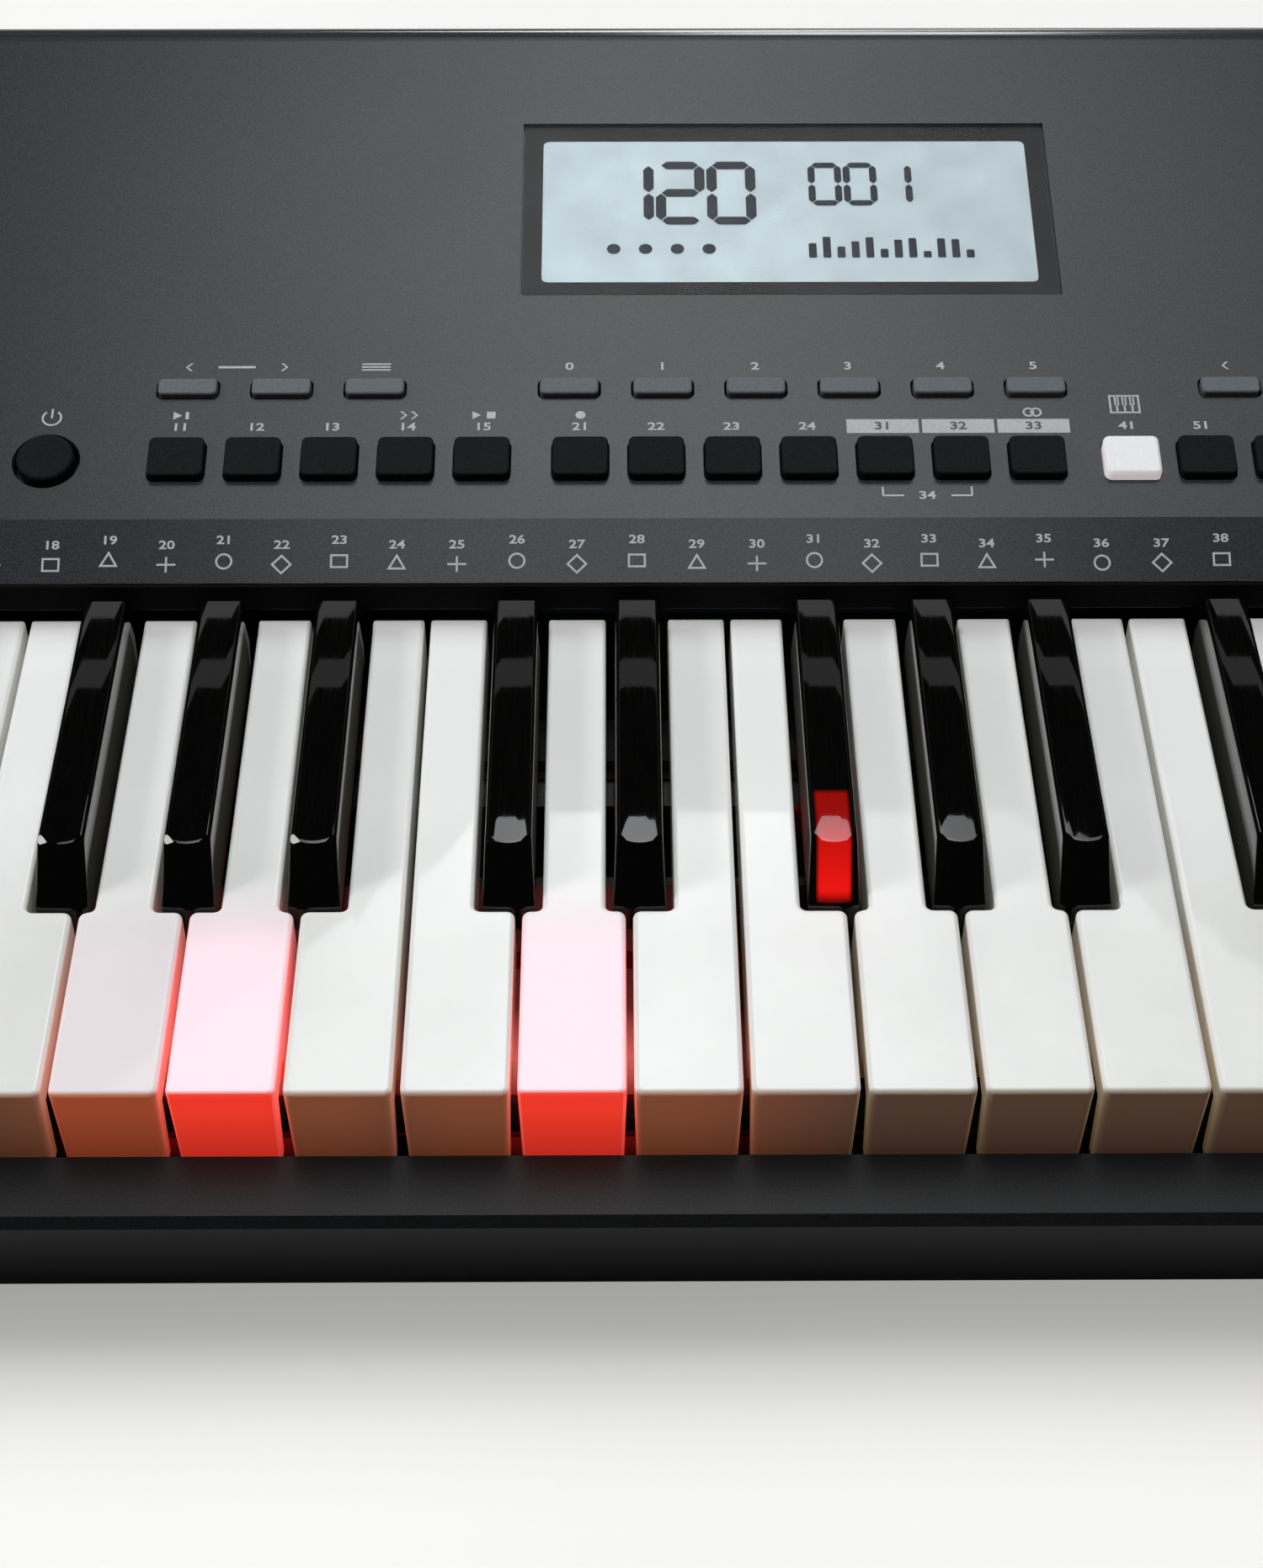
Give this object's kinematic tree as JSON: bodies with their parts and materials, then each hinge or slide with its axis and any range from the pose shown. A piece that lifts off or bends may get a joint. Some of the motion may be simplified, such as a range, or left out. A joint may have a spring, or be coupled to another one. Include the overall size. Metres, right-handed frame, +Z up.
{
  "type": "arranger keyboard",
  "caption": "Portable arranger keyboard with hinged lit keys, a sloping button panel, display, speakers, rear plug sockets and a sliding battery cover.",
  "frame": {"origin": "under the middle of the case, on the table", "axes": "+X to the player's right along the keys, +Y to the rear, +Z up"},
  "size_m": [0.946, 0.34, 0.1156],
  "materials": {
    "panel_plastic": "fine spark-textured moulding, dark grey",
    "base_plastic": "fine textured moulding, near black",
    "grille_plastic": "matt moulded slots",
    "white_key_plastic": "translucent white moulding, satin gloss",
    "lit_white_key_plastic": "translucent white moulding, lit red from below",
    "black_key_plastic": "polished black moulding",
    "lit_black_key_plastic": "smoked moulding with a red lit window",
    "black_button_plastic": "matt black moulding",
    "white_button_plastic": "white moulding",
    "grey_button_plastic": "mid grey moulding",
    "knob_plastic": "matt black moulding",
    "display_acrylic": "smoked clear acrylic",
    "display_module_plastic": "display frame",
    "chassis_plastic": "moulded, black",
    "felt": "pressed wool felt",
    "circuit_board": "green solder mask",
    "contact_rubber": "moulded silicone",
    "foot_rubber": "moulded",
    "rod_steel": "drawn rod",
    "contact_steel": "nickel plated strip",
    "speaker_metal": "pressed basket, black",
    "socket_plastic": "moulded, black"
  },
  "bodies": {
    "case": {"battery_contacts": "contact_steel", "contact_rubbers": "contact_rubber", "display_module": "display_module_plastic", "display_window": "display_acrylic", "hinge_rod": "rod_steel", "jack_board": "circuit_board", "key_chassis": "chassis_plastic", "key_contact_board": "circuit_board", "key_light_boards": "circuit_board", "key_retainer": "chassis_plastic", "lower_case": "base_plastic", "main_board": "circuit_board", "panel_board": "circuit_board", "rear_jack_panel": "base_plastic", "rear_sockets": "socket_plastic", "rubber_feet": "foot_rubber", "speaker_grilles": "grille_plastic", "speakers": "speaker_metal", "stop_felts": "felt", "upper_case": "panel_plastic", "volume_pot": "socket_plastic"},
    "white_f3": {"white_f3": "white_key_plastic"},
    "white_g3": {"white_g3": "white_key_plastic"},
    "white_a3": {"white_a3": "lit_white_key_plastic"},
    "white_b3": {"white_b3": "white_key_plastic"},
    "white_c4": {"white_c4": "white_key_plastic"},
    "white_d4": {"white_d4": "lit_white_key_plastic"},
    "white_e4": {"white_e4": "white_key_plastic"},
    "white_f4": {"white_f4": "white_key_plastic"},
    "white_g4": {"white_g4": "white_key_plastic"},
    "white_a4": {"white_a4": "white_key_plastic"},
    "white_b4": {"white_b4": "white_key_plastic"},
    "white_c5": {"white_c5": "white_key_plastic"},
    "black_fs3": {"black_fs3": "black_key_plastic"},
    "black_gs3": {"black_gs3": "black_key_plastic"},
    "black_as3": {"black_as3": "black_key_plastic"},
    "black_cs4": {"black_cs4": "black_key_plastic"},
    "black_ds4": {"black_ds4": "black_key_plastic"},
    "black_fs4": {"black_fs4": "lit_black_key_plastic"},
    "black_gs4": {"black_gs4": "black_key_plastic"},
    "black_as4": {"black_as4": "black_key_plastic"},
    "black_cs5": {"black_cs5": "black_key_plastic"},
    "white_keys_low": {"white_keys_low": "white_key_plastic"},
    "white_keys_high": {"white_keys_high": "white_key_plastic"},
    "black_keys_low": {"black_keys_low": "black_key_plastic"},
    "black_keys_high": {"black_keys_high": "black_key_plastic"},
    "style_buttons": {"style_buttons": "black_button_plastic"},
    "record_buttons": {"record_buttons": "black_button_plastic"},
    "mode_buttons": {"mode_buttons": "black_button_plastic"},
    "piano_button": {"piano_button": "white_button_plastic"},
    "metronome_buttons": {"metronome_buttons": "black_button_plastic"},
    "number_buttons": {"number_buttons": "black_button_plastic"},
    "tempo_buttons": {"tempo_buttons": "grey_button_plastic"},
    "memory_buttons": {"memory_buttons": "grey_button_plastic"},
    "value_buttons": {"value_buttons": "grey_button_plastic"},
    "power_button": {"power_button": "black_button_plastic"},
    "volume_knob": {"volume_knob": "knob_plastic"},
    "battery_cover": {"battery_cover": "base_plastic"}
  },
  "joints": [
    {"name": "white_f3_dip", "type": "hinge", "parent": "case", "child": "white_f3", "pos_m": [0, 0.014, 0.0545], "axis": [1, 0, 0], "range_deg": [0, 3.1], "stiffness_Nm_per_rad": 0.5, "springref_deg": -8.59},
    {"name": "white_g3_dip", "type": "hinge", "parent": "case", "child": "white_g3", "pos_m": [0, 0.014, 0.0545], "axis": [1, 0, 0], "range_deg": [0, 3.1], "stiffness_Nm_per_rad": 0.5, "springref_deg": -8.59},
    {"name": "white_a3_dip", "type": "hinge", "parent": "case", "child": "white_a3", "pos_m": [0, 0.014, 0.0545], "axis": [1, 0, 0], "range_deg": [0, 3.1], "stiffness_Nm_per_rad": 0.5, "springref_deg": -8.59},
    {"name": "white_b3_dip", "type": "hinge", "parent": "case", "child": "white_b3", "pos_m": [0, 0.014, 0.0545], "axis": [1, 0, 0], "range_deg": [0, 3.1], "stiffness_Nm_per_rad": 0.5, "springref_deg": -8.59},
    {"name": "white_c4_dip", "type": "hinge", "parent": "case", "child": "white_c4", "pos_m": [0, 0.014, 0.0545], "axis": [1, 0, 0], "range_deg": [0, 3.1], "stiffness_Nm_per_rad": 0.5, "springref_deg": -8.59},
    {"name": "white_d4_dip", "type": "hinge", "parent": "case", "child": "white_d4", "pos_m": [0, 0.014, 0.0545], "axis": [1, 0, 0], "range_deg": [0, 3.1], "stiffness_Nm_per_rad": 0.5, "springref_deg": -8.59},
    {"name": "white_e4_dip", "type": "hinge", "parent": "case", "child": "white_e4", "pos_m": [0, 0.014, 0.0545], "axis": [1, 0, 0], "range_deg": [0, 3.1], "stiffness_Nm_per_rad": 0.5, "springref_deg": -8.59},
    {"name": "white_f4_dip", "type": "hinge", "parent": "case", "child": "white_f4", "pos_m": [0, 0.014, 0.0545], "axis": [1, 0, 0], "range_deg": [0, 3.1], "stiffness_Nm_per_rad": 0.5, "springref_deg": -8.59},
    {"name": "white_g4_dip", "type": "hinge", "parent": "case", "child": "white_g4", "pos_m": [0, 0.014, 0.0545], "axis": [1, 0, 0], "range_deg": [0, 3.1], "stiffness_Nm_per_rad": 0.5, "springref_deg": -8.59},
    {"name": "white_a4_dip", "type": "hinge", "parent": "case", "child": "white_a4", "pos_m": [0, 0.014, 0.0545], "axis": [1, 0, 0], "range_deg": [0, 3.1], "stiffness_Nm_per_rad": 0.5, "springref_deg": -8.59},
    {"name": "white_b4_dip", "type": "hinge", "parent": "case", "child": "white_b4", "pos_m": [0, 0.014, 0.0545], "axis": [1, 0, 0], "range_deg": [0, 3.1], "stiffness_Nm_per_rad": 0.5, "springref_deg": -8.59},
    {"name": "white_c5_dip", "type": "hinge", "parent": "case", "child": "white_c5", "pos_m": [0, 0.014, 0.0545], "axis": [1, 0, 0], "range_deg": [0, 3.1], "stiffness_Nm_per_rad": 0.5, "springref_deg": -8.59},
    {"name": "black_fs3_dip", "type": "hinge", "parent": "case", "child": "black_fs3", "pos_m": [0, 0.014, 0.0545], "axis": [1, 0, 0], "range_deg": [0, 3.1], "stiffness_Nm_per_rad": 0.5, "springref_deg": -8.59},
    {"name": "black_gs3_dip", "type": "hinge", "parent": "case", "child": "black_gs3", "pos_m": [0, 0.014, 0.0545], "axis": [1, 0, 0], "range_deg": [0, 3.1], "stiffness_Nm_per_rad": 0.5, "springref_deg": -8.59},
    {"name": "black_as3_dip", "type": "hinge", "parent": "case", "child": "black_as3", "pos_m": [0, 0.014, 0.0545], "axis": [1, 0, 0], "range_deg": [0, 3.1], "stiffness_Nm_per_rad": 0.5, "springref_deg": -8.59},
    {"name": "black_cs4_dip", "type": "hinge", "parent": "case", "child": "black_cs4", "pos_m": [0, 0.014, 0.0545], "axis": [1, 0, 0], "range_deg": [0, 3.1], "stiffness_Nm_per_rad": 0.5, "springref_deg": -8.59},
    {"name": "black_ds4_dip", "type": "hinge", "parent": "case", "child": "black_ds4", "pos_m": [0, 0.014, 0.0545], "axis": [1, 0, 0], "range_deg": [0, 3.1], "stiffness_Nm_per_rad": 0.5, "springref_deg": -8.59},
    {"name": "black_fs4_dip", "type": "hinge", "parent": "case", "child": "black_fs4", "pos_m": [0, 0.014, 0.0545], "axis": [1, 0, 0], "range_deg": [0, 3.1], "stiffness_Nm_per_rad": 0.5, "springref_deg": -8.59},
    {"name": "black_gs4_dip", "type": "hinge", "parent": "case", "child": "black_gs4", "pos_m": [0, 0.014, 0.0545], "axis": [1, 0, 0], "range_deg": [0, 3.1], "stiffness_Nm_per_rad": 0.5, "springref_deg": -8.59},
    {"name": "black_as4_dip", "type": "hinge", "parent": "case", "child": "black_as4", "pos_m": [0, 0.014, 0.0545], "axis": [1, 0, 0], "range_deg": [0, 3.1], "stiffness_Nm_per_rad": 0.5, "springref_deg": -8.59},
    {"name": "black_cs5_dip", "type": "hinge", "parent": "case", "child": "black_cs5", "pos_m": [0, 0.014, 0.0545], "axis": [1, 0, 0], "range_deg": [0, 3.1], "stiffness_Nm_per_rad": 0.5, "springref_deg": -8.59},
    {"name": "white_keys_low_dip", "type": "hinge", "parent": "case", "child": "white_keys_low", "pos_m": [0, 0.014, 0.0545], "axis": [1, 0, 0], "range_deg": [0, 3.1], "stiffness_Nm_per_rad": 5, "springref_deg": -8.59},
    {"name": "white_keys_high_dip", "type": "hinge", "parent": "case", "child": "white_keys_high", "pos_m": [0, 0.014, 0.0545], "axis": [1, 0, 0], "range_deg": [0, 3.1], "stiffness_Nm_per_rad": 7, "springref_deg": -8.59},
    {"name": "black_keys_low_dip", "type": "hinge", "parent": "case", "child": "black_keys_low", "pos_m": [0, 0.014, 0.0545], "axis": [1, 0, 0], "range_deg": [0, 3.1], "stiffness_Nm_per_rad": 3.5, "springref_deg": -8.59},
    {"name": "black_keys_high_dip", "type": "hinge", "parent": "case", "child": "black_keys_high", "pos_m": [0, 0.014, 0.0545], "axis": [1, 0, 0], "range_deg": [0, 3.1], "stiffness_Nm_per_rad": 4.5, "springref_deg": -8.59},
    {"name": "style_buttons_press", "type": "slide", "parent": "case", "child": "style_buttons", "axis": [0, 0.2079, -0.9781], "range_m": [0, 0.0012], "stiffness_N_per_m": 3000, "springref_m": -0.0015},
    {"name": "record_buttons_press", "type": "slide", "parent": "case", "child": "record_buttons", "axis": [0, 0.2079, -0.9781], "range_m": [0, 0.0012], "stiffness_N_per_m": 2400, "springref_m": -0.0015},
    {"name": "mode_buttons_press", "type": "slide", "parent": "case", "child": "mode_buttons", "axis": [0, 0.2079, -0.9781], "range_m": [0, 0.0012], "stiffness_N_per_m": 1800, "springref_m": -0.0015},
    {"name": "piano_button_press", "type": "slide", "parent": "case", "child": "piano_button", "axis": [0, 0.2079, -0.9781], "range_m": [0, 0.0012], "stiffness_N_per_m": 600, "springref_m": -0.0015},
    {"name": "metronome_buttons_press", "type": "slide", "parent": "case", "child": "metronome_buttons", "axis": [0, 0.2079, -0.9781], "range_m": [0, 0.0012], "stiffness_N_per_m": 1200, "springref_m": -0.0015},
    {"name": "number_buttons_press", "type": "slide", "parent": "case", "child": "number_buttons", "axis": [0, 0.2079, -0.9781], "range_m": [0, 0.0012], "stiffness_N_per_m": 1800, "springref_m": -0.0015},
    {"name": "tempo_buttons_press", "type": "slide", "parent": "case", "child": "tempo_buttons", "axis": [0, 0.2079, -0.9781], "range_m": [0, 0.0012], "stiffness_N_per_m": 1800, "springref_m": -0.0015},
    {"name": "memory_buttons_press", "type": "slide", "parent": "case", "child": "memory_buttons", "axis": [0, 0.2079, -0.9781], "range_m": [0, 0.0012], "stiffness_N_per_m": 3600, "springref_m": -0.0015},
    {"name": "value_buttons_press", "type": "slide", "parent": "case", "child": "value_buttons", "axis": [0, 0.2079, -0.9781], "range_m": [0, 0.0012], "stiffness_N_per_m": 1800, "springref_m": -0.0015},
    {"name": "power_button_press", "type": "slide", "parent": "case", "child": "power_button", "axis": [0, 0.2079, -0.9781], "range_m": [0, 0.0012], "stiffness_N_per_m": 600, "springref_m": -0.0015},
    {"name": "volume_turn", "type": "hinge", "parent": "case", "child": "volume_knob", "pos_m": [-0.232, 0.03284, 0.08932], "axis": [0, -0.2079, 0.9781], "range_deg": [-150, 150]},
    {"name": "battery_cover_slide", "type": "slide", "parent": "case", "child": "battery_cover", "axis": [0, 1, 0], "range_m": [0, 0.05]}
  ]
}
